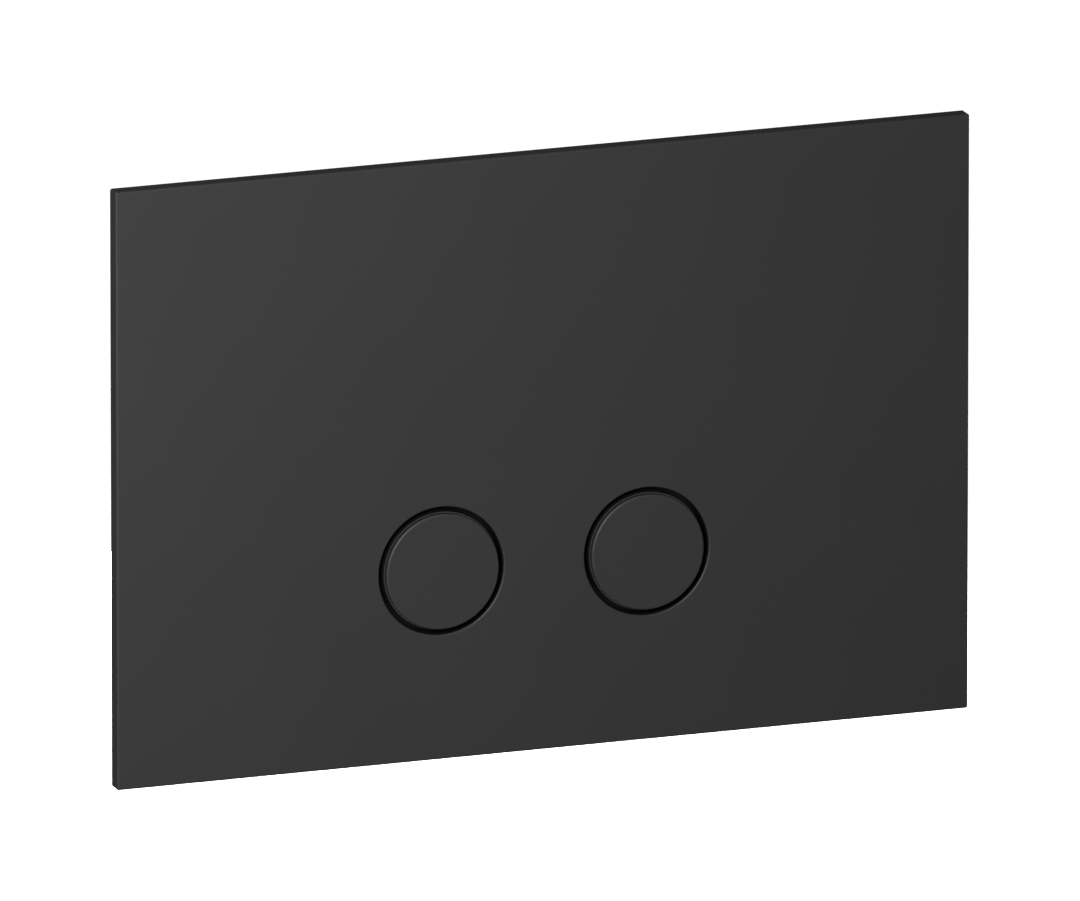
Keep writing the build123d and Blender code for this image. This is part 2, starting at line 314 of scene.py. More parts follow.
class StageSettings(bpy.types.PropertyGroup):
    """Camera and light of the studio."""

    azimuth: angle("Azimuth", -19.833, "Turn of the camera to the right of the plate's normal")
    elevation: angle("Elevation", 15.242, "Height of the camera above level")
    distance: length("Distance", 9293.0, "Distance from the camera to the plate's face")
    focal_length: number("Focal length", 1275.8, "Lens on a 36 mm sensor", "CAMERA")
    shift_across: length("Shift across", 1.066, "How far right of the picture's middle the plate sits")
    shift_up: length("Shift up", -0.364, "How far above the picture's middle the plate sits")
    floor_drop: length("Floor drop", 250.0, "Distance from the object down to the floor")
    floor_size: length("Floor size", 5000.0, "Width of the floor")
    key_power: number("Key", 4.2, "Soft box above the camera's left", "POWER")
    side_power: number("Side", 4.0, "Soft box behind, on the right", "POWER")
    back_power: number("Back", 12.0, "Soft box behind", "POWER")
    rear_power: number("Rear", 3.0, "Soft boxes that light only the pieces behind the plate", "POWER")
    ambient: number("Ambient", 0.06, "Brightness of the surroundings as light")


class FlushPlateSettings(bpy.types.PropertyGroup):
    """All settings of the flush plate."""

    plate: bpy.props.PointerProperty(type=PlateSettings)
    plate_back: bpy.props.PointerProperty(type=PlateBackSettings)
    button: bpy.props.PointerProperty(type=ButtonSettings)
    carrier: bpy.props.PointerProperty(type=CarrierSettings)
    fastener: bpy.props.PointerProperty(type=FastenerSettings)
    finish: bpy.props.PointerProperty(type=FinishSettings)
    stage: bpy.props.PointerProperty(type=StageSettings)


# Shells: points, the row of all faces' corners as places in the points, and each face's corner count


def run_starts(lengths):
    """Where each run starts in a row of runs, such as each face's corners in the row of corners."""
    return np.cumsum(lengths) - lengths


def turned_over(corners, counts):
    """The row of corners with each face's own corners in reverse."""
    first = np.repeat(run_starts(counts), counts)
    last = np.repeat(np.cumsum(counts) - 1, counts)
    return corners[first + last - np.arange(len(corners))]


def outward(points, corners, counts):
    """The same shell, turned over where the volume that its faces enclose is negative.

    The volume is a sixth of the sum of first . (corner x next), taken over the sides of every face.
    """
    starts = run_starts(counts)
    ahead = np.arange(len(corners)) + 1
    ahead[starts + counts - 1] = starts
    first = points[np.repeat(corners[starts], counts)]
    volume = np.einsum("ij,ij->", first, np.cross(points[corners], points[corners[ahead]]))
    return points, corners if volume > 0 else turned_over(corners, counts), counts


def skin(rings, wrap=False):
    """A shell over rings of points, an array of ring, place round the ring, and across, up and out.

    Quads join each ring to the next. The first and last ring are closed with a flat face, or are
    joined to each other where the rings wrap round a section.
    """
    count, places = rings.shape[:2]
    ring = np.arange(count if wrap else count - 1)[:, None] * places
    place = np.arange(places)
    ahead, beside = (ring + places) % (count * places), (place + 1) % places
    corners = np.stack([ring + place, ring + beside, ahead + beside, ahead + place], axis=-1).ravel()
    counts = np.full(len(corners) // 4, 4)
    if not wrap:
        corners = np.concatenate([corners, place, count * places - 1 - place])
        counts = np.append(counts, [places, places])
    return outward(rings.reshape(-1, 3), corners, counts)


def ring_at(outline, level):
    """An outline on the wall's plane, lifted to a level."""
    return np.column_stack([outline, np.full(len(outline), level)])


def prism(outline, low, high):
    """An outline carried straight from one level to another."""
    return skin(np.stack([ring_at(outline, low), ring_at(outline, high)]))


def upright(profile, thickness):
    """A profile of (across, level) points given a thickness upwards, half to each side."""
    across, level = np.array(profile, float).T
    half = np.full(len(across), thickness / 2)
    return skin(np.stack([np.column_stack([across, side * half, level]) for side in (-1, 1)]))


def placed(shell, across=0.0, up=0.0, turn=0.0):
    """A shell turned about the axis out of the wall and then moved across and up."""
    points, corners, counts = shell
    cosine, sine = math.cos(turn), math.sin(turn)
    x = points[:, 0] * cosine - points[:, 1] * sine + across
    y = points[:, 0] * sine + points[:, 1] * cosine + up
    return np.column_stack([x, y, points[:, 2]]), corners, counts


def above_and_below(shell, across, top, bottom):
    """Two copies of a shell, turned to point up at the top and down at the bottom."""
    return [placed(shell, across, top, math.pi / 2), placed(shell, across, bottom, -math.pi / 2)]


def rectangle(left, bottom, right, top):
    """The corners of a rectangle, counter-clockwise."""
    return np.array([(left, bottom), (right, bottom), (right, top), (left, top)])


def directions(angles):
    """Unit vectors at angles about the axis out of the wall."""
    return np.column_stack([np.cos(angles), np.sin(angles)])


def edge_steps(radius):
    """Steps over a rounded edge, from its face to its wall: how far each is from the wall and the face.

    With the two distances swapped, the steps go from the wall to the face.
    """
    return [(radius * (1 - math.sin(turn)), radius * (1 - math.cos(turn))) for turn in QUARTER_ARC]


def softened(corners, radii):
    """A convex outline whose corners are replaced by arcs, with radius 0 for a corner that stays.

    With unit vectors a and b from the corner along its sides, the arc's centre lies on their
    bisector at radius / sin(half the corner's angle), and the arc turns between the side's normals.
    """
    points = []
    befores, afters = np.roll(corners, 1, axis=0), np.roll(corners, -1, axis=0)
    for before, corner, after, radius in zip(befores, corners, afters, radii):
        a, b = ((end - corner) / np.linalg.norm(end - corner) for end in (before, after))
        half = math.acos(a @ b) / 2
        centre = corner + (a + b) / np.linalg.norm(a + b) * radius / math.sin(half)
        start = math.atan2(-a[0], a[1]) + math.pi
        sweep = np.linspace(0, math.pi - 2 * half, ARC_STEPS if radius else 1)
        points.append(centre + radius * directions(start + sweep))
    return np.concatenate(points)


def bearings(outline, middle):
    """The angles at which an outline's corners are seen from a middle point."""
    across, up = (outline - middle).T
    return np.arctan2(up, across) % TURN


def even_angles(steps):
    """Angles that divide a turn into equal steps."""
    return np.arange(steps) * TURN / steps


def marked_angles(marks, room):
    """Even angles with marked ones put in, without the even ones that have less room beside a mark."""
    even = even_angles(ROUND_STEPS)
    apart = np.abs((even[:, None] - marks + math.pi) % TURN - math.pi).min(axis=1)
    return np.sort(np.concatenate([marks, even[apart > room]]))


def ray_angles(middle, *outlines):
    """Even angles about a middle point, with the bearings of the outlines' corners put in."""
    corners = np.concatenate([bearings(outline, middle) for outline in outlines])
    return marked_angles(np.unique(np.round(corners, ANGLE_DIGITS)), TURN / ROUND_STEPS / 4)


def spokes(outline, middle, angles):
    """Where rays from a middle point meet an outline, and the vectors that move those points out.

    A ray u meets the side from p to q at middle + u ((p - middle) x (q - p)) / (u x (q - p)).
    The vector is the side's normal, and at a corner the mitre of the two normals, which is their
    sum divided by one plus their dot product.
    """
    sides = np.roll(outline, -1, axis=0) - outline
    normals = np.column_stack([sides[:, 1], -sides[:, 0]]) / np.linalg.norm(sides, axis=1)[:, None]
    former = np.roll(normals, 1, axis=0)
    mitres = (former + normals) / (1 + (former * normals).sum(axis=1))[:, None]
    corner_angles = bearings(outline, middle)
    order = np.argsort(corner_angles)
    side = order[np.searchsorted(corner_angles[order], angles + ANGLE_HAIR, side="right") - 1]
    ray = directions(angles)
    towards = outline[side] - middle
    cross = towards[:, 0] * sides[side, 1] - towards[:, 1] * sides[side, 0]
    reach = cross / (ray[:, 0] * sides[side, 1] - ray[:, 1] * sides[side, 0])
    at_corner = np.abs(angles - corner_angles[side]) < ANGLE_HAIR
    return middle + reach[:, None] * ray, np.where(at_corner[:, None], mitres[side], normals[side])


def spread(span, pitch):
    """Places along a centred span, as near to the pitch as a whole number of steps allows."""
    return span * (np.linspace(0, 1, max(1, round(span / pitch)) + 1) - 0.5)


def joined(shells):
    """Several shells as one."""
    points, corners, counts = zip(*shells)
    starts = run_starts([len(own) for own in points])
    moved = [own + start for own, start in zip(corners, starts)]
    return np.concatenate(points), np.concatenate(moved), np.concatenate(counts)


def welded(points, corners, counts):
    """A shell whose points that lie on one spot are one point, without unused points and empty sides."""
    spots, index = np.unique(np.round(points / MM, WELD_DIGITS), axis=0, return_inverse=True)
    corners = index.ravel()[corners]
    starts = run_starts(counts)
    before = np.arange(len(corners)) - 1
    before[starts] = starts + counts - 1
    sides = corners != corners[before]
    left = np.add.reduceat(sides.astype(int), starts)
    used, corners = np.unique(corners[sides & np.repeat(left > 2, counts)], return_inverse=True)
    return spots[used] * MM, corners.ravel(), left[left > 2]


# Pieces in the scene


def finish_piece(piece, body, node, material, edge_break=0.0):
    """Gives a mesh object its material, rounded edges and even shading, and its place in the frame."""
    mesh = piece.data
    mesh.materials.append(material)
    mesh.polygons.foreach_set("use_smooth", np.ones(len(mesh.polygons), bool))
    if edge_break:
        rounding = piece.modifiers.new("Rounded edges", "BEVEL")
        rounding.width = edge_break
        rounding.segments = BEVEL_SEGMENTS
        rounding.limit_method = "ANGLE"
        rounding.angle_limit = BEVEL_LIMIT
        rounding.use_clamp_overlap = False
    else:
        mesh.set_sharp_from_angle(angle=SMOOTH_LIMIT)
    shading = piece.modifiers.new("Even shading", "WEIGHTED_NORMAL")
    shading.keep_sharp = True
    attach(piece, body)
    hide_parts(node)


def refinish(piece, material, chosen):
    """Gives some faces of a piece another material: those whose middle's across, up and out is chosen."""
    mesh = piece.data
    middles = np.empty(3 * len(mesh.polygons))
    index = np.empty(len(mesh.polygons), int)
    mesh.polygons.foreach_get("center", middles)
    mesh.polygons.foreach_get("material_index", index)
    across, into, up = middles.reshape(-1, 3).T
    mesh.materials.append(material)
    index[chosen(across, up, -into)] = len(mesh.materials) - 1
    mesh.polygons.foreach_set("material_index", index)


def in_scene(name, data):
    """A new object in the scene that holds this data."""
    made = bpy.data.objects.new(name, data)
    bpy.context.scene.collection.objects.link(made)
    return made


def new_object(name, points, corners, counts):
    """A mesh object from points drawn on the wall, stood up: across, into the wall, up."""
    mesh = bpy.data.meshes.new(name)
    stood_up = np.column_stack([points[:, 0], -points[:, 2], points[:, 1]])
    mesh.vertices.add(len(points))
    mesh.vertices.foreach_set("co", stood_up.ravel().astype(np.float32))
    mesh.loops.add(len(corners))
    mesh.loops.foreach_set("vertex_index", corners.astype(np.int32))
    mesh.polygons.add(len(counts))
    mesh.polygons.foreach_set("loop_start", run_starts(counts).astype(np.int32))
    mesh.update(calc_edges=True)
    mesh.validate()
    return in_scene(name, mesh)


def merged_copy(name, node):
    """An object with a copy of a node's mesh, its triangles merged and its flat areas joined."""
    work = bmesh.new()
    work.from_mesh(frame["nodes"][node].data)
    bmesh.ops.remove_doubles(work, verts=work.verts, dist=MERGE_DISTANCE)
    bmesh.ops.dissolve_limit(work, angle_limit=FLAT_LIMIT, verts=work.verts, edges=work.edges)
    mesh = bpy.data.meshes.new(name)
    work.to_mesh(mesh)
    work.free()
    for layer in [layer for layer in mesh.attributes if layer.name == "custom_normal"]:
        mesh.attributes.remove(layer)
    return in_scene(name, mesh)


def settings():
    """The settings held by the scene."""
    return bpy.context.scene.flush_plate


# Materials


def add_node(tree, kind, gives, inputs, **options):
    """Adds a shader node, sets its options, links or sets its inputs, and returns the output it gives."""
    made = tree.nodes.new("ShaderNode" + kind)
    for name, value in options.items():
        setattr(made, name, value)
    for name, value in inputs.items():
        if isinstance(value, bpy.types.NodeSocket):
            tree.links.new(value, made.inputs[name])
        else:
            made.inputs[name].default_value = value
    return made.outputs[gives] if gives else None


def new_material(name):
    """An empty material, its node tree and the vector that its patterns read, in metres."""
    material = bpy.data.materials.new(name)
    material.use_nodes = True
    material.node_tree.nodes.clear()
    return material, material.node_tree, add_node(material.node_tree, "TexCoord", "Object", {})


def per_metre(millimetres):
    """The scale of a pattern whose features are this many millimetres apart."""
    return 1 / (millimetres * MM)


def shade(rgb, factor):
    """A colour made lighter or darker by a factor, with its alpha."""
    return (*[min(1.0, channel * factor) for channel in rgb], 1.0)


def noise(tree, place, spacing, detail, roughness=0.5):
    """A noise pattern whose features are this many millimetres apart."""
    sockets = {"Vector": place, "Scale": per_metre(spacing), "Detail": detail, "Roughness": roughness}
    return add_node(tree, "TexNoise", "Fac", sockets)


def ranged(tree, pattern, low, high):
    """A pattern of 0 to 1 brought to another range."""
    return add_node(tree, "MapRange", "Result", {"Value": pattern, "To Min": low, "To Max": high})


def relief(tree, pattern, strength, depth):
    """A pattern as a relief, this many millimetres deep."""
    sockets = {"Height": pattern, "Strength": strength, "Distance": depth * MM}
    return add_node(tree, "Bump", "Normal", sockets)


def surface(tree, rgb, pattern, factors, sockets):
    """Ends a material: a pattern moves its colour between two shades, and the shader's sockets are set."""
    darker, lighter = (shade(rgb, factor) for factor in factors)
    tone = add_node(tree, "Mix", "Result", {"Factor": pattern, "A": darker, "B": lighter}, data_type="RGBA")
    shader = add_node(tree, "BsdfPrincipled", "BSDF", {"Base Color": tone, **sockets})
    add_node(tree, "OutputMaterial", None, {"Surface": shader})


def made_once(build):
    """Turns a builder of nodes into a maker of materials, which makes one on its name's first use."""

    def once(name, *looks, **named_looks):
        material = bpy.data.materials.get(name)
        if not material:
            material, tree, place = new_material(name)
            build(tree, place, *looks, **named_looks)
        return material

    return once


@made_once
def spark_eroded(tree, place):
    """Spark-eroded moulded ABS: deep black that a fine matt texture lifts to an even, soft grey sheen.

    The real grain is too fine to show, so it is drawn several times as coarse.
    """
    grain = noise(tree, place, spacing=0.35, detail=3.0, roughness=0.6)
    cloud = noise(tree, place, spacing=40.0, detail=2.0)
    gloss = ranged(tree, grain, low=0.48, high=0.53)
    texture = relief(tree, grain, strength=0.12, depth=0.01)
    sockets = {"Roughness": gloss, "IOR": 1.53, "Normal": texture}
    surface(tree, settings().finish.show_black, cloud, (0.95, 1.05), sockets)


@made_once
def polished(tree, place):
    """ABS from a polished mould, where the texture ends: glossy, with faint swirls, and drawn darker as
    painted shade.
    """
    swirl = noise(tree, place, spacing=6.0, detail=4.0)
    gloss = ranged(tree, swirl, low=0.14, high=0.2)
    surface(tree, settings().finish.shaded_lip_black, swirl, (0.85, 1.15), {"Roughness": gloss, "IOR": 1.53})


@made_once
def plain_moulding(tree, place, rgb, roughness, grain_size=0.4, flow_size=18.0):
    """Plain moulded plastic: a slight gloss, a fine tool-mark relief and faint flow streaks.

    The real tool marks are too fine to show, so they are drawn several times as coarse.
    """
    drawn_out = add_node(tree, "Mapping", "Vector", {"Vector": place, "Scale": (1.0, 1.0, 0.25)})
    flow = noise(tree, drawn_out, flow_size, detail=4.0)
    marks = noise(tree, place, grain_size, detail=3.0)
    gloss = ranged(tree, flow, roughness - 0.06, roughness + 0.08)
    scores = relief(tree, marks, strength=0.2, depth=0.02)
    surface(tree, rgb, flow, (0.9, 1.08), {"Roughness": gloss, "IOR": 1.52, "Normal": scores})


@made_once
def pad_foam(tree, place):
    """Closed-cell foam: dull, with small round cells open at the skin, their hollows drawn darker as
    painted shade.
    """
    cells = add_node(tree, "TexVoronoi", "Distance", {"Vector": place, "Scale": per_metre(0.45)})
    pores = relief(tree, cells, strength=0.6, depth=0.1)
    # The hollows that the relief sinks are also drawn darker: painted shade
    surface(tree, settings().finish.foam, cells, (0.6, 1.2), {"Roughness": 0.92, "Normal": pores})


@made_once
def damper_rubber(tree, place):
    """Moulded rubber: dull black with a dusty bloom."""
    bloom = noise(tree, place, spacing=0.8, detail=5.0)
    surface(tree, settings().finish.rubber, bloom, (0.8, 1.5), {"Roughness": 0.8})


@made_once
def metal(tree, place, rgb, roughness, patch_size, mark_size, mark_depth):
    """Worked metal: patches that differ a little in gloss and tone, and fine tool marks.

    The real marks are too fine to show, so they are drawn several times as coarse.
    """
    patches = noise(tree, place, patch_size, detail=3.0)
    marks = noise(tree, place, mark_size, detail=2.0)
    gloss = ranged(tree, patches, roughness - 0.08, roughness + 0.12)
    dents = relief(tree, marks, strength=0.3, depth=mark_depth)
    surface(tree, rgb, patches, (0.82, 1.08), {"Metallic": 1.0, "Roughness": gloss, "Normal": dents})


@made_once
def pale_paint(tree, place):
    """Pale paint on the studio's floor, with faint specks and a white glow."""
    specks = noise(tree, place, spacing=300.0, detail=2.0)
    glow = {"Emission Color": (1, 1, 1, 1), "Emission Strength": 1.0}
    surface(tree, settings().finish.floor, specks, (0.99, 1.0), {"Roughness": 0.9, **glow})


def matt_abs():
    """The matt black plastic of the plate's face and the buttons' caps."""
    return spark_eroded("spark_eroded_black_abs")


def polished_shaded_abs():
    """The polished black plastic of the buttons' lips and insides, drawn darker as painted shade in the
    gaps.
    """
    return polished("polished_black_abs")


def black_moulding():
    """The plain black plastic of the carrier and of the plate's back."""
    return plain_moulding("black_moulded_abs", settings().finish.carrier_black, roughness=0.46)


def satin_shaded_moulding():
    """The satin black plastic on the walls of the gaps, where the fine texture ends, drawn dark as painted
    shade.
    """
    return plain_moulding("satin_black_abs", settings().finish.shaded_gap_black, roughness=0.55)


# Front plate


def plate_tray(sizes):
    """The tray with both openings: its right half, and the mirror image joined to it on the seam.

    Rings of points run round the right opening on rays from its middle. They follow the section:
    up the opening's wall, over its rounded mouth, across the face to the outline, over the rounded
    edge, down the side, under the rim, up the recess and back across the inner face.
    """
    width, height, front = PLATE_HIGH
    middle = drawn_middle("push_rod_right")
    outline = softened(
        rectangle(0, -height, width, height), (0, sizes.corner_round, sizes.corner_round, 0)
    )
    recess = rectangle(0, sizes.rim - height, width - sizes.rim, height - sizes.rim)
    angles = ray_angles(middle, outline, recess)
    ray = directions(angles)
    edge, edge_out = spokes(outline, middle, angles)
    wall, _ = spokes(recess, middle, angles)
    edge_out[edge[:, 0] < TINY, 0] = 0
    edge[edge[:, 0] < TINY, 0] = 0
    wall[wall[:, 0] < TINY, 0] = 0
    rings = [ring_at(middle + sizes.hole_radius * ray, INNER_FACE)]
    for drop, inset in edge_steps(sizes.mouth_round):
        rings.append(ring_at(middle + (sizes.hole_radius + inset) * ray, front - drop))
    for inset, drop in edge_steps(sizes.edge_round):
        rings.append(ring_at(edge - inset * edge_out, front - drop))
    rings += [ring_at(edge, 0), ring_at(wall, 0), ring_at(wall, INNER_FACE)]
    points, corners, counts = skin(np.stack(rings), wrap=True)
    off_seam = np.maximum.reduceat(points[corners, 0], run_starts(counts)) > TINY
    corners, counts = corners[np.repeat(off_seam, counts)], counts[off_seam]
    mirrored = (points * (-1, 1, 1), turned_over(corners, counts), counts)
    return welded(*joined([(points, corners, counts), mirrored]))


def rim_gussets(sizes, back):
    """Triangular gussets between the rim and the face, spaced evenly along each side."""
    half_width, half_height = PLATE_HIGH[:2] - sizes.rim
    root, foot, reach = INNER_FACE + back.sink, back.gusset_foot, -back.gusset_reach
    profile = [(back.sink, root), (back.sink, foot), (0, foot), (reach, INNER_FACE), (reach, root)]
    gusset = upright(profile, back.gusset_thickness)
    shells = []
    for up in spread(2 * half_height - back.gusset_pitch, back.gusset_pitch):
        shells.append(placed(gusset, half_width, up))
        shells.append(placed(gusset, -half_width, up, math.pi))
    for across in spread(2 * half_width - back.gusset_pitch, back.gusset_pitch):
        shells += above_and_below(gusset, across, half_height, -half_height)
    return shells


def back_ribs(back, carrier):
    """A grid of low ribs on the inner face, above the carrier and between the frame's ears."""
    half_width = FRAME_HIGH[0] - carrier.flange_width - carrier.ear_reach
    low = CARRIER_HIGH[1] + back.window_gap
    high = FRAME_HIGH[1] - carrier.flange_width - back.hook_thickness - back.window_gap
    half_rib = back.rib_thickness / 2
    front = INNER_FACE + back.sink
    foot = INNER_FACE - back.rib_height
    shells = []
    for across in spread(2 * half_width, back.rib_pitch):
        outline = rectangle(across - half_rib, low, across + half_rib, high)
        shells.append(prism(outline, foot, front))
    for up in spread(high - low, back.rib_pitch) + (low + high) / 2:
        outline = rectangle(-half_width - half_rib, up - half_rib, half_width + half_rib, up + half_rib)
        shells.append(prism(outline, foot + back.rib_step, front))
    return shells


def hooks(back, carrier):
    """Snap hooks with barbs that catch in the mounting frame's window, top and bottom."""
    root, tip, inner = INNER_FACE + back.sink, PLATE_LOW[2], -back.hook_thickness
    catch = tip + back.hook_barb
    profile = [(0, root), (0, catch), (back.hook_bite, catch), (0, tip), (inner, tip), (inner, root)]
    hook = upright(profile, back.hook_width)
    top = FRAME_HIGH[1] - carrier.flange_width - back.hook_gap
    bottom = CARRIER_LOW[1] - back.window_gap + back.hook_gap
    shells = []
    for side in (-1, 1):
        shells += above_and_below(hook, side * back.hook_spacing / 2, top, bottom)
    return shells


def clips(back, carrier):
    """Snap clips round the carrier, with barbs over the ledge of its base."""
    root, ledge = INNER_FACE + back.sink, INNER_FACE - carrier.base
    tip = ledge - back.clip_barb
    inner, outer = back.clip_gap, back.clip_gap + back.clip_thickness
    barb = [(inner, ledge), (-back.clip_bite, ledge), (inner, tip)]
    clip = upright([(inner, root), *barb, (outer, tip), (outer, root)], back.clip_width)
    row = drawn_middle("button_carrier")[1]
    shells = [placed(clip, CARRIER_HIGH[0], row), placed(clip, CARRIER_LOW[0], row, math.pi)]
    for side in SIDES:
        across = drawn_middle("push_rod_" + side)[0]
        shells += above_and_below(clip, across, CARRIER_HIGH[1], CARRIER_LOW[1])
    return shells


def finish_plate(piece, sizes):
    """Gives the plate plain black plastic behind, and satin black on its openings' walls, dark as painted
    shade.
    """
    width, height, front = PLATE_HIGH
    edge = sizes.rim / 4

    def behind(across, up, out):
        inside = (np.abs(across) < width - edge) & (np.abs(up) < height - edge)
        return inside & (out < front - sizes.mouth_round)

    # The openings' walls take the dark satin colour, which is painted shade in the gaps
    def shaded_gap_wall(across, up, out):
        return behind(across, up, out) & (out > INNER_FACE)

    refinish(piece, black_moulding(), behind)
    refinish(piece, satin_shaded_moulding(), shaded_gap_wall)


class FLUSH_PLATE_OT_front_plate(bpy.types.Operator):
    """Make the front plate with its ribs, hooks and clips"""

    bl_idname = "flush_plate.front_plate"
    bl_label = "Front Plate"

    def execute(self, context):
        own = settings()
        shells = [plate_tray(own.plate)]
        shells += rim_gussets(own.plate, own.plate_back) + back_ribs(own.plate_back, own.carrier)
        shells += hooks(own.plate_back, own.carrier) + clips(own.plate_back, own.carrier)
        piece = new_object("plate_moulding", *joined(shells))
        finish_piece(piece, ROOT, "front_plate", matt_abs(), own.plate.edge_break)
        finish_plate(piece, own.plate)
        return {"FINISHED"}


# Buttons


def turned(middle, angles, rows):
    """Rings of points round an axis out of the wall, from rows of a radius, or radii, and a level."""
    ray = directions(angles)
    radii = [np.broadcast_to(radius, len(angles))[:, None] for radius, _ in rows]
    return np.stack([ring_at(middle + own * ray, level) for own, (_, level) in zip(radii, rows)])


def button_shell(side, sizes):
    """A button: cap with a rounded edge, ledge, skirt, notched stop lip, stem and blind bore."""
    middle = drawn_middle("push_rod_" + side)
    top, stem_end = BUTTON_HIGH[2], BUTTON_LOW[2]
    lip_front = DAMPERS_LOW[2]
    lip_back = lip_front - sizes.lip
    under = top - sizes.face
    bore_end = drawn_box("push_rod_" + side)[1][2] + sizes.bore_spare
    half_notch = math.asin(sizes.notch_width / 2 / LIP_RADIUS)
    notch = half_notch + np.array([-NOTCH_WALL, NOTCH_WALL])
    notches = np.concatenate([notch, -notch, math.pi + notch, math.pi - notch]) % TURN
    angles = marked_angles(notches, NOTCH_WALL)
    from_notch = np.abs((angles + math.pi / 2) % math.pi - math.pi / 2)
    lip = np.where(from_notch < half_notch, sizes.notch_floor, LIP_RADIUS)
    rows = [(sizes.radius - inset, top - drop) for inset, drop in edge_steps(sizes.edge_round)]
    ledge = PLATE_HIGH[2] - sizes.ledge_drop
    skirt = sizes.radius + sizes.ledge_width
    rows += [(sizes.radius, PLATE_HIGH[2] + sizes.texture_end), (sizes.radius, ledge)]
    rows += [(skirt, ledge), (skirt, lip_front), (lip, lip_front), (lip, lip_back)]
    inner = sizes.radius - sizes.skirt
    rows += [(inner, lip_back), (inner, under), (sizes.stem_radius, under)]
    for drop, inset in edge_steps(sizes.stem_break):
        rows.append((sizes.stem_radius - inset, stem_end + drop))
    rows += [(sizes.bore_radius, stem_end), (sizes.bore_radius, bore_end)]
    return skin(turned(middle, angles, rows))


def finish_button(piece, middle, sizes):
    """Polishes a button below its cap's matt texture, but for satin gap walls and the matt ledge, all but
    the ledge dark as painted shade.
    """

    def below(across, up, out):
        return out < PLATE_HIGH[2] + sizes.texture_end

    # The caps' walls in the gaps take the dark satin colour, which is painted shade
    def shaded_gap_wall(across, up, out):
        outside = np.hypot(across - middle[0], up - middle[1]) > sizes.radius - sizes.skirt / 2
        return below(across, up, out) & outside & (out > DAMPERS_LOW[2] + HAIR)

    def ledge(across, up, out):
        return np.abs(out - PLATE_HIGH[2] + sizes.ledge_drop) < HAIR

    # Below the texture the button takes the dark polished colour, which is painted shade in the gap
    refinish(piece, polished_shaded_abs(), below)
    refinish(piece, satin_shaded_moulding(), shaded_gap_wall)
    refinish(piece, matt_abs(), ledge)


class FLUSH_PLATE_OT_buttons(bpy.types.Operator):
    """Make the two push buttons"""

    bl_idname = "flush_plate.buttons"
    bl_label = "Buttons"

    def execute(self, context):
        own = settings().button
        for side in SIDES:
            piece = new_object("button_moulding_" + side, *button_shell(side, own))
            finish_piece(piece, side + "_button", "button_" + side, matt_abs())
            finish_button(piece, drawn_middle("push_rod_" + side), own)
        return {"FINISHED"}


class FLUSH_PLATE_OT_damper_pads(bpy.types.Operator):
    """Make the rubber pads on the buttons' lips"""

    bl_idname = "flush_plate.damper_pads"
    bl_label = "Damper Pads"

    def execute(self, context):
        own = settings()
        material = damper_rubber("moulded_rubber")
        half_length, half_width = own.button.damper_length / 2, own.button.damper_width / 2
        reach = (own.plate.hole_radius + LIP_RADIUS) / 2
        outline = rectangle(reach - half_width, -half_length, reach + half_width, half_length)
        pad = prism(outline, DAMPERS_LOW[2], DAMPERS_HIGH[2])
        turns = (np.arange(DAMPER_COUNT) + 0.5) * TURN / DAMPER_COUNT
        for side in SIDES:
            middle = drawn_middle("push_rod_" + side)
            shells = [placed(pad, *middle, turn) for turn in turns]
            piece = new_object("damper_rubbers_" + side, *joined(shells))
            node = "damper_pads_" + side
            finish_piece(piece, side + "_button", node, material, own.fastener.edge_break)
        return {"FINISHED"}


# Springs, rods and nuts


def coil(low, high, sizes):
    """A spring's wire: a circle carried along the helix (r cos t, r sin t, rising evenly with t).

    The circle lies across the helix, between the radial vector and the one square to it and the
    tangent.
    """
    middle = (low[:2] + high[:2]) / 2
    wire = sizes.spring_wire / 2
    radius = (high[1] - low[1]) / 2 - wire
    sweep = np.linspace(0, TURN * sizes.spring_turns, round(COIL_STEPS * sizes.spring_turns))
    rise = (high[2] - low[2] - 2 * wire) / sweep[-1]
    radial = np.column_stack([directions(sweep), np.zeros(len(sweep))])
    tangent = np.column_stack([-radius * radial[:, 1], radius * radial[:, 0], np.full(len(sweep), rise)])
    tangent /= np.linalg.norm(tangent, axis=1)[:, None]
    square = np.cross(tangent, radial)
    axis = np.column_stack([np.tile(middle, (len(sweep), 1)), low[2] + wire + rise * sweep])
    line = axis + radius * radial
    around = even_angles(WIRE_STEPS)
    rings = (
        line[:, None, :]
        + wire * np.cos(around)[None, :, None] * radial[:, None, :]
        + wire * np.sin(around)[None, :, None] * square[:, None, :]
    )
    return skin(rings)


def thread_rows(radius, pitch, low, high, angles, sizes, chamfer_low=0.0, chamfer_high=0.0):
    """Rows of a thread: the radius falls from crest to root with the phase level / pitch - angle / turn.

    A triangle wave of the phase, stretched and cut off, gives flat crests, straight flanks and flat
    roots. At an end with a bevel the radius grows from the end by one for one.
    """
    count = round((high - low) / pitch * THREAD_STEPS)
    level = np.linspace(high, low, count + 1)[:, None]
    phase = (level / pitch - angles / TURN) % 1
    fall = np.clip(WAVE_STRETCH * np.abs(2 * phase - 1) - WAVE_DROP, 0, 1)
    reach = radius - sizes.thread_depth * pitch * fall
    if chamfer_low:
        reach = np.minimum(reach, radius - chamfer_low + level - low)
    if chamfer_high:
        reach = np.minimum(reach, radius - chamfer_high + high - level)
    return list(zip(reach, level[:, 0]))


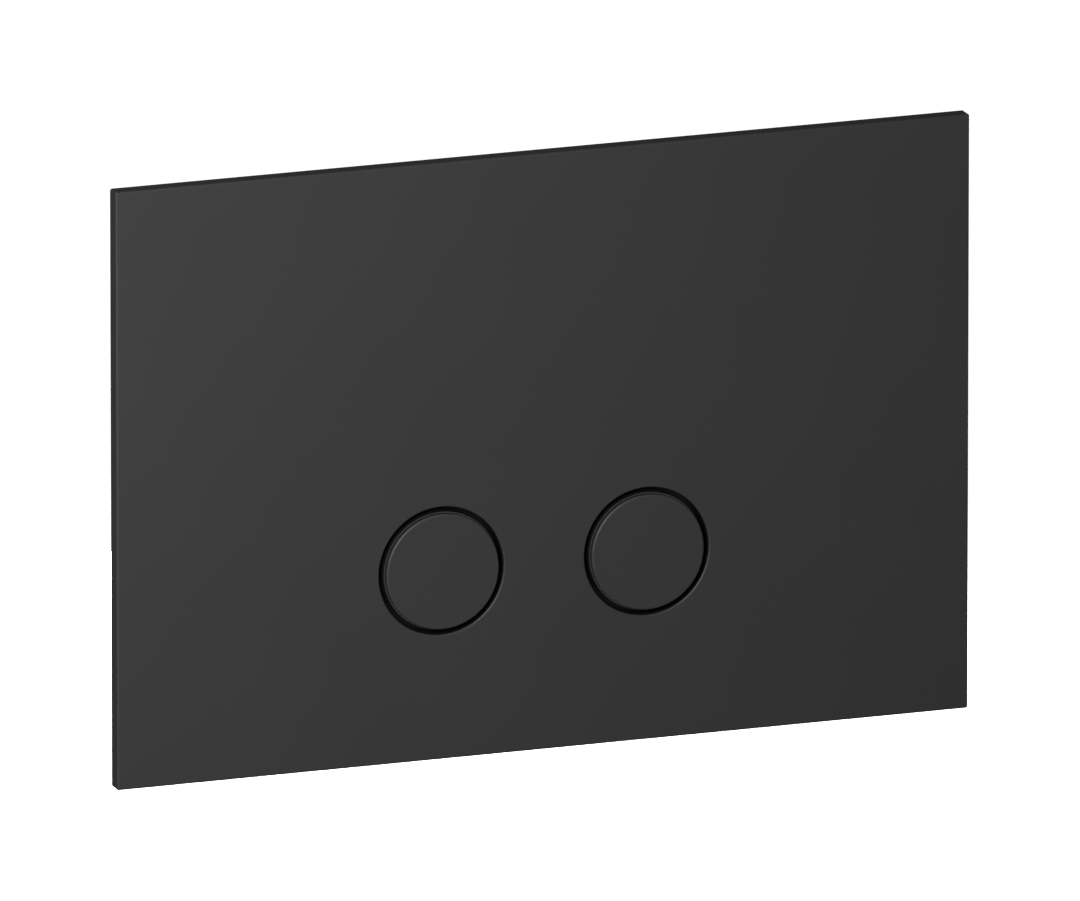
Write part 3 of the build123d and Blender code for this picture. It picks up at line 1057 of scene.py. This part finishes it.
def hex_nut(low, high, sizes):
    """A hexagon nut: its outline's radius is flat / cos(angle off the flat), cut by two 30 degree cones."""
    middle = (low[:2] + high[:2]) / 2
    corner = (high[0] - low[0]) / 2
    flat = corner * math.cos(math.pi / 6)
    angles = even_angles(ROUND_STEPS)
    outline = flat / np.cos(angles % (TURN / 6) - TURN / 12)
    slope = math.tan(math.pi / 6)
    depth = np.linspace(0, (corner - flat) * slope * CONE_SPAN, ARC_STEPS)
    cut = np.minimum(outline, flat * NUT_CROWN + depth[:, None] / slope)
    rows = [*zip(cut, high[2] - depth), *zip(cut[::-1], low[2] + depth[::-1])]
    mouth = sizes.nut_bore + sizes.nut_mouth
    rows += [(mouth, low[2]), (sizes.nut_bore, low[2] + sizes.nut_mouth)]
    rows += [(sizes.nut_bore, high[2] - sizes.nut_mouth), (mouth, high[2])]
    return skin(turned(middle, angles, rows), wrap=True)


class FLUSH_PLATE_OT_return_springs(bpy.types.Operator):
    """Make the return springs, which in the real plate shorten as their buttons are pressed"""

    bl_idname = "flush_plate.return_springs"
    bl_label = "Return Springs"

    def execute(self, context):
        own = settings()
        # Drawn wire: bright grey, with small patches and fine die marks
        material = metal(
            "drawn_spring_steel", own.finish.wire, 0.3, patch_size=1.5, mark_size=0.15, mark_depth=0.01
        )
        for side in SIDES:
            low, high = drawn_box("return_spring_" + side)
            piece = new_object("spring_coil_" + side, *coil(low, high, own.fastener))
            finish_piece(piece, ROOT, "return_spring_" + side, material)
            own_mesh(piece)
        return {"FINISHED"}


class FLUSH_PLATE_OT_push_rods(bpy.types.Operator):
    """Make the threaded push rods and their lock nuts"""

    bl_idname = "flush_plate.push_rods"
    bl_label = "Push Rods"

    def execute(self, context):
        own = settings().fastener
        # Moulded acetal: milky white and a little waxy
        acetal = settings().finish.acetal
        material = plain_moulding("moulded_acetal", acetal, 0.38, grain_size=0.3, flow_size=6.0)
        angles = even_angles(ROD_STEPS)
        for side in SIDES:
            low, high = drawn_box("push_rod_" + side)
            radius = (high[1] - low[1]) / 2
            rows = thread_rows(
                radius, own.push_pitch, low[2], high[2], angles, own, own.rod_chamfer, own.rod_chamfer
            )
            rod = skin(turned(drawn_middle("push_rod_" + side), angles, rows))
            body = side + "_button"
            piece = new_object("push_rod_thread_" + side, *rod)
            finish_piece(piece, body, "push_rod_" + side, material)
            nut = hex_nut(*drawn_box("lock_nut_" + side), own)
            piece = new_object("lock_nut_hex_" + side, *nut)
            finish_piece(piece, body, "lock_nut_" + side, material)
        return {"FINISHED"}


def washer(side, sizes):
    """A square plate washer: rings round its hole run up the hole, out to the outline and back."""
    low, high = drawn_box("fixing_washer_" + side)
    middle = drawn_middle("fixing_washer_" + side)
    outline = softened(rectangle(*low[:2], *high[:2]), [sizes.washer_corner] * 4)
    angles = ray_angles(middle, outline)
    hole = middle + sizes.washer_hole * directions(angles)
    edge, _ = spokes(outline, middle, angles)
    rings = [ring_at(hole, low[2]), ring_at(hole, high[2]), ring_at(edge, high[2]), ring_at(edge, low[2])]
    return skin(np.stack(rings), wrap=True)


class FLUSH_PLATE_OT_fixings(bpy.types.Operator):
    """Make the fixing rods with their nuts and washers"""

    bl_idname = "flush_plate.fixings"
    bl_label = "Fixings"

    def execute(self, context):
        own = settings().fastener
        finish = settings().finish
        # Bright zinc plate: bluish silver, a little cloudy. Moulded nylon: mid grey and dull
        zinc = metal(
            "bright_zinc_plate", finish.zinc, 0.38, patch_size=4.0, mark_size=0.25, mark_depth=0.008
        )
        nylon = plain_moulding("moulded_nylon", finish.nylon, 0.5, grain_size=0.35, flow_size=8.0)
        angles = even_angles(ROD_STEPS)
        for side in SIDES:
            low, high = drawn_box("fixing_rod_" + side)
            middle = drawn_middle("fixing_rod_" + side)
            radius = (high[1] - low[1]) / 2
            shoulder, chamfer = low[2] + own.tail_length, own.rod_chamfer
            rows = thread_rows(radius, own.fixing_pitch, shoulder, high[2], angles, own, chamfer, chamfer)
            rows += thread_rows(own.tail_radius, own.tail_pitch, low[2], shoulder, angles, own, chamfer)
            piece = new_object("fixing_rod_thread_" + side, *skin(turned(middle, angles, rows)))
            finish_piece(piece, ROOT, "fixing_rod_" + side, zinc)
            nut = hex_nut(*drawn_box("fixing_nut_" + side), own)
            piece = new_object("fixing_nut_hex_" + side, *nut)
            finish_piece(piece, ROOT, "fixing_nut_" + side, nylon)
            piece = new_object("fixing_washer_plate_" + side, *washer(side, own))
            finish_piece(piece, ROOT, "fixing_washer_" + side, zinc, own.edge_break)
        return {"FINISHED"}


# Carrier, frame and pads


class FLUSH_PLATE_OT_button_carrier(bpy.types.Operator):
    """Make the button carrier, with the moulded edges rounded"""

    bl_idname = "flush_plate.button_carrier"
    bl_label = "Button Carrier"

    def execute(self, context):
        piece = merged_copy("carrier_moulding", "button_carrier")
        edge_break = settings().carrier.edge_break
        finish_piece(piece, ROOT, "button_carrier", black_moulding(), edge_break)
        return {"FINISHED"}


class FLUSH_PLATE_OT_mounting_frame(bpy.types.Operator):
    """Make the mounting frame, with the moulded edges rounded"""

    bl_idname = "flush_plate.mounting_frame"
    bl_label = "Mounting Frame"

    def execute(self, context):
        own = settings()
        # Moulded ABS: light grey with a slight gloss
        material = plain_moulding("grey_moulded_abs", own.finish.frame_grey, 0.46, flow_size=22.0)
        piece = merged_copy("frame_moulding", "mounting_frame")
        finish_piece(piece, ROOT, "mounting_frame", material, own.carrier.edge_break)
        return {"FINISHED"}


class FLUSH_PLATE_OT_corner_pads(bpy.types.Operator):
    """Make the foam pads on the corners of the frame's flange"""

    bl_idname = "flush_plate.corner_pads"
    bl_label = "Corner Pads"

    def execute(self, context):
        own = settings().fastener
        material = pad_foam("closed_cell_foam")
        shells = []
        for side in (-1, 1):
            for end in (-1, 1):
                outer = np.array([side, end]) * PADS_HIGH[:2]
                inner = outer - np.array([side * own.pad_length, end * own.pad_width])
                low, high = np.minimum(outer, inner), np.maximum(outer, inner)
                shells.append(prism(rectangle(*low, *high), PADS_LOW[2], PADS_HIGH[2]))
        piece = new_object("corner_foams", *joined(shells))
        finish_piece(piece, ROOT, "corner_pads", material, own.edge_break / 2)
        return {"FINISHED"}


# Stage


def pieces_behind():
    """A collection of every piece but the plate and the buttons."""
    group = bpy.data.collections.new("pieces_behind")
    solids = frame["nodes"].values()
    for piece in bpy.context.scene.objects:
        if piece.type == "MESH" and piece not in solids and not piece.name.startswith(SHOW_PIECES):
            group.objects.link(piece)
    return group


def soft_box(name, watts, lit=None):
    """A square area lamp that faces the object, and lights all of it or only a collection's pieces."""
    place, width = SOFT_BOXES[name]
    lamp = bpy.data.lights.new(name, "AREA")
    lamp.shape = "SQUARE"
    lamp.size = width
    lamp.energy = watts
    box = in_scene(name, lamp)
    box.location = place
    box.rotation_mode = "QUATERNION"
    box.rotation_quaternion = (-Vector(place)).to_track_quat("-Z", "Y")
    if lit:
        box.light_linking.receiver_collection = lit


def studio_camera(own):
    """The camera: turned to the left of the plate's normal, raised, and far off behind a long lens."""
    swing, rise = own.azimuth, own.elevation
    back = Vector((math.sin(swing) * math.cos(rise), -math.cos(swing) * math.cos(rise), math.sin(rise)))
    right = Vector((math.cos(swing), math.sin(swing), 0))
    up = right.cross(-back)
    lens = bpy.data.cameras.new("studio_camera")
    lens.sensor_width = SENSOR_WIDTH
    lens.lens = own.focal_length
    lens.clip_end = SIGHT
    camera = in_scene("studio_camera", lens)
    face = Vector((0, -PLATE_HIGH[2], 0))
    camera.location = face + back * own.distance - right * own.shift_across - up * own.shift_up
    camera.rotation_mode = "QUATERNION"
    camera.rotation_quaternion = (-back).to_track_quat("-Z", "Y")
    bpy.context.scene.camera = camera


def studio_floor(own):
    """A plain pale floor below the object."""
    half = own.floor_size / 2
    level = CAD_BOX[0].z - own.floor_drop
    mesh = bpy.data.meshes.new("floor")
    corners = [(-half, -half, level), (half, -half, level), (half, half, level), (-half, half, level)]
    mesh.from_pydata(corners, [], [(0, 1, 2, 3)])
    mesh.materials.append(pale_paint("pale_painted_floor"))
    floor = in_scene("floor", mesh)
    floor.visible_diffuse = False
    floor.visible_glossy = False


def studio_world(own):
    """White surroundings, which light the object much less than the camera sees of them."""
    world = bpy.data.worlds.new("studio")
    world.use_nodes = True
    tree = world.node_tree
    tree.nodes.clear()
    from_camera = add_node(tree, "LightPath", "Is Camera Ray", {})
    seen = ranged(tree, from_camera, low=own.ambient, high=1.0)
    glow = add_node(tree, "Background", "Background", {"Color": (1, 1, 1, 1), "Strength": seen})
    add_node(tree, "OutputWorld", None, {"Surface": glow})
    bpy.context.scene.world = world


class FLUSH_PLATE_OT_stage(bpy.types.Operator):
    """Set up the floor, the light and the camera"""

    bl_idname = "flush_plate.stage"
    bl_label = "Stage"

    def execute(self, context):
        own = settings().stage
        behind = pieces_behind()
        studio_floor(own)
        studio_world(own)
        studio_camera(own)
        soft_box("key_light", own.key_power)
        soft_box("side_light", own.side_power)
        soft_box("back_light", own.back_power)
        soft_box("rear_top_light", own.rear_power, behind)
        soft_box("rear_left_light", own.rear_power, behind)
        soft_box("rear_right_light", own.rear_power / 2, behind)
        context.scene.view_settings.view_transform = "Standard"
        return {"FINISHED"}


STEPS = (
    FLUSH_PLATE_OT_front_plate,
    FLUSH_PLATE_OT_buttons,
    FLUSH_PLATE_OT_damper_pads,
    FLUSH_PLATE_OT_return_springs,
    FLUSH_PLATE_OT_push_rods,
    FLUSH_PLATE_OT_button_carrier,
    FLUSH_PLATE_OT_mounting_frame,
    FLUSH_PLATE_OT_corner_pads,
    FLUSH_PLATE_OT_fixings,
    FLUSH_PLATE_OT_stage,
)


class FLUSH_PLATE_PT_pieces(bpy.types.Panel):
    """Lists the pieces of the flush plate"""

    bl_idname = "FLUSH_PLATE_PT_pieces"
    bl_label = "Flush Plate"
    bl_space_type = "VIEW_3D"
    bl_region_type = "UI"
    bl_category = "Flush Plate"

    def draw(self, context):
        for step in STEPS:
            self.layout.operator(step.bl_idname)


CLASSES = (
    PlateSettings,
    PlateBackSettings,
    ButtonSettings,
    CarrierSettings,
    FastenerSettings,
    FinishSettings,
    StageSettings,
    FlushPlateSettings,
    *STEPS,
    FLUSH_PLATE_PT_pieces,
)


def register():
    """Registers the classes and hangs the settings on the scene."""
    for kind in CLASSES:
        bpy.utils.register_class(kind)
    bpy.types.Scene.flush_plate = bpy.props.PointerProperty(type=FlushPlateSettings)


def unregister():
    """Takes the settings off the scene and unregisters the classes."""
    del bpy.types.Scene.flush_plate
    for kind in reversed(CLASSES):
        bpy.utils.unregister_class(kind)


def main():
    """Builds every piece and the stage."""
    register()
    for step in STEPS:
        group, operator = step.bl_idname.split(".")
        getattr(getattr(bpy.ops, group), operator)()


if __name__ == "__main__":
    main()
